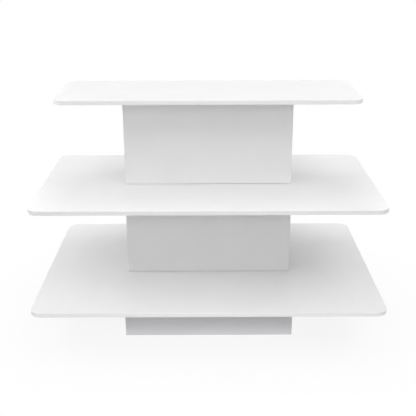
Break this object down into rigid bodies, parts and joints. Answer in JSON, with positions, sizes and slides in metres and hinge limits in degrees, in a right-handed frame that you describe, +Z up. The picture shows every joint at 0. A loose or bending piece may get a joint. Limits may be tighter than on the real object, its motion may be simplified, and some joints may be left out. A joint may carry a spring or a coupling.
{
  "type": "tiered display table",
  "caption": "Free-standing shop display table: stacked rectangular shelves with rounded corners on narrow hollow boxes and a plinth with hidden levelling feet.",
  "frame": {"origin": "on the floor, under the middle of the table", "axes": "+X along the shelves' length, -Y towards the front, +Z up"},
  "size_m": [1.524, 1.03, 1.074],
  "materials": {
    "white_melamine": "white melamine face, satin",
    "white_edging": "white plastic edge band, satin, with eased arrises",
    "raw_board": "bare chipboard",
    "zinc_steel": "zinc plated",
    "black_nylon": "moulded nylon"
  },
  "bodies": {
    "table": {"top_shelf_board": "white_melamine", "top_shelf_edge_band": "white_edging", "middle_shelf_board": "white_melamine", "middle_shelf_edge_band": "white_edging", "bottom_shelf_board": "white_melamine", "bottom_shelf_edge_band": "white_edging", "upper_box_front_panel": "white_melamine", "upper_box_back_panel": "white_melamine", "upper_box_left_panel": "white_melamine", "upper_box_right_panel": "white_melamine", "upper_box_top_web": "raw_board", "upper_box_bottom_web": "raw_board", "middle_box_front_panel": "white_melamine", "middle_box_back_panel": "white_melamine", "middle_box_left_panel": "white_melamine", "middle_box_right_panel": "white_melamine", "middle_box_top_web": "raw_board", "middle_box_bottom_web": "raw_board", "plinth_front_panel": "white_melamine", "plinth_back_panel": "white_melamine", "plinth_left_panel": "white_melamine", "plinth_right_panel": "white_melamine", "plinth_top_web": "raw_board", "plinth_corner_block_front_left": "raw_board", "plinth_corner_block_front_right": "raw_board", "plinth_corner_block_back_left": "raw_board", "plinth_corner_block_back_right": "raw_board", "foot_insert_front_left": "zinc_steel", "foot_insert_front_right": "zinc_steel", "foot_insert_back_left": "zinc_steel", "foot_insert_back_right": "zinc_steel", "upper_box_top_screw_front_left": "zinc_steel", "upper_box_top_screw_front_right": "zinc_steel", "upper_box_top_screw_back_left": "zinc_steel", "upper_box_top_screw_back_right": "zinc_steel", "middle_shelf_screw_front_left": "zinc_steel", "middle_shelf_screw_front_right": "zinc_steel", "middle_shelf_screw_back_left": "zinc_steel", "middle_shelf_screw_back_right": "zinc_steel", "middle_box_top_screw_front_left": "zinc_steel", "middle_box_top_screw_front_right": "zinc_steel", "middle_box_top_screw_back_left": "zinc_steel", "middle_box_top_screw_back_right": "zinc_steel", "bottom_shelf_screw_front_left": "zinc_steel", "bottom_shelf_screw_front_right": "zinc_steel", "bottom_shelf_screw_back_left": "zinc_steel", "bottom_shelf_screw_back_right": "zinc_steel", "plinth_top_screw_front_left": "zinc_steel", "plinth_top_screw_front_right": "zinc_steel", "plinth_top_screw_back_left": "zinc_steel", "plinth_top_screw_back_right": "zinc_steel"},
    "pad_front_left": {"foot_pad_front_left": "black_nylon"},
    "pad_front_right": {"foot_pad_front_right": "black_nylon"},
    "pad_back_left": {"foot_pad_back_left": "black_nylon"},
    "pad_back_right": {"foot_pad_back_right": "black_nylon"},
    "stem_front_left": {"foot_stem_front_left": "zinc_steel"},
    "stem_front_right": {"foot_stem_front_right": "zinc_steel"},
    "stem_back_left": {"foot_stem_back_left": "zinc_steel"},
    "stem_back_right": {"foot_stem_back_right": "zinc_steel"}
  },
  "joints": [
    {"name": "front_left_foot_travel", "type": "slide", "parent": "table", "child": "pad_front_left", "axis": [0, 0, -1], "range_m": [0, 0.015]},
    {"name": "front_right_foot_travel", "type": "slide", "parent": "table", "child": "pad_front_right", "axis": [0, 0, -1], "range_m": [0, 0.015]},
    {"name": "back_left_foot_travel", "type": "slide", "parent": "table", "child": "pad_back_left", "axis": [0, 0, -1], "range_m": [0, 0.015]},
    {"name": "back_right_foot_travel", "type": "slide", "parent": "table", "child": "pad_back_right", "axis": [0, 0, -1], "range_m": [0, 0.015]},
    {"name": "front_left_stem_turn", "type": "hinge", "parent": "pad_front_left", "child": "stem_front_left", "pos_m": [-0.331, -0.255, 0.02], "axis": [0, 0, -1], "range_deg": [0, 4320]},
    {"name": "front_right_stem_turn", "type": "hinge", "parent": "pad_front_right", "child": "stem_front_right", "pos_m": [0.331, -0.255, 0.02], "axis": [0, 0, -1], "range_deg": [0, 4320]},
    {"name": "back_left_stem_turn", "type": "hinge", "parent": "pad_back_left", "child": "stem_back_left", "pos_m": [-0.331, 0.255, 0.02], "axis": [0, 0, -1], "range_deg": [0, 4320]},
    {"name": "back_right_stem_turn", "type": "hinge", "parent": "pad_back_right", "child": "stem_back_right", "pos_m": [0.331, 0.255, 0.02], "axis": [0, 0, -1], "range_deg": [0, 4320]}
  ],
  "couplings": [
    {"joint": "front_left_stem_turn", "follows": "front_left_foot_travel", "rad_per_m": 5026.5},
    {"joint": "front_right_stem_turn", "follows": "front_right_foot_travel", "rad_per_m": 5026.5},
    {"joint": "back_left_stem_turn", "follows": "back_left_foot_travel", "rad_per_m": 5026.5},
    {"joint": "back_right_stem_turn", "follows": "back_right_foot_travel", "rad_per_m": 5026.5}
  ]
}
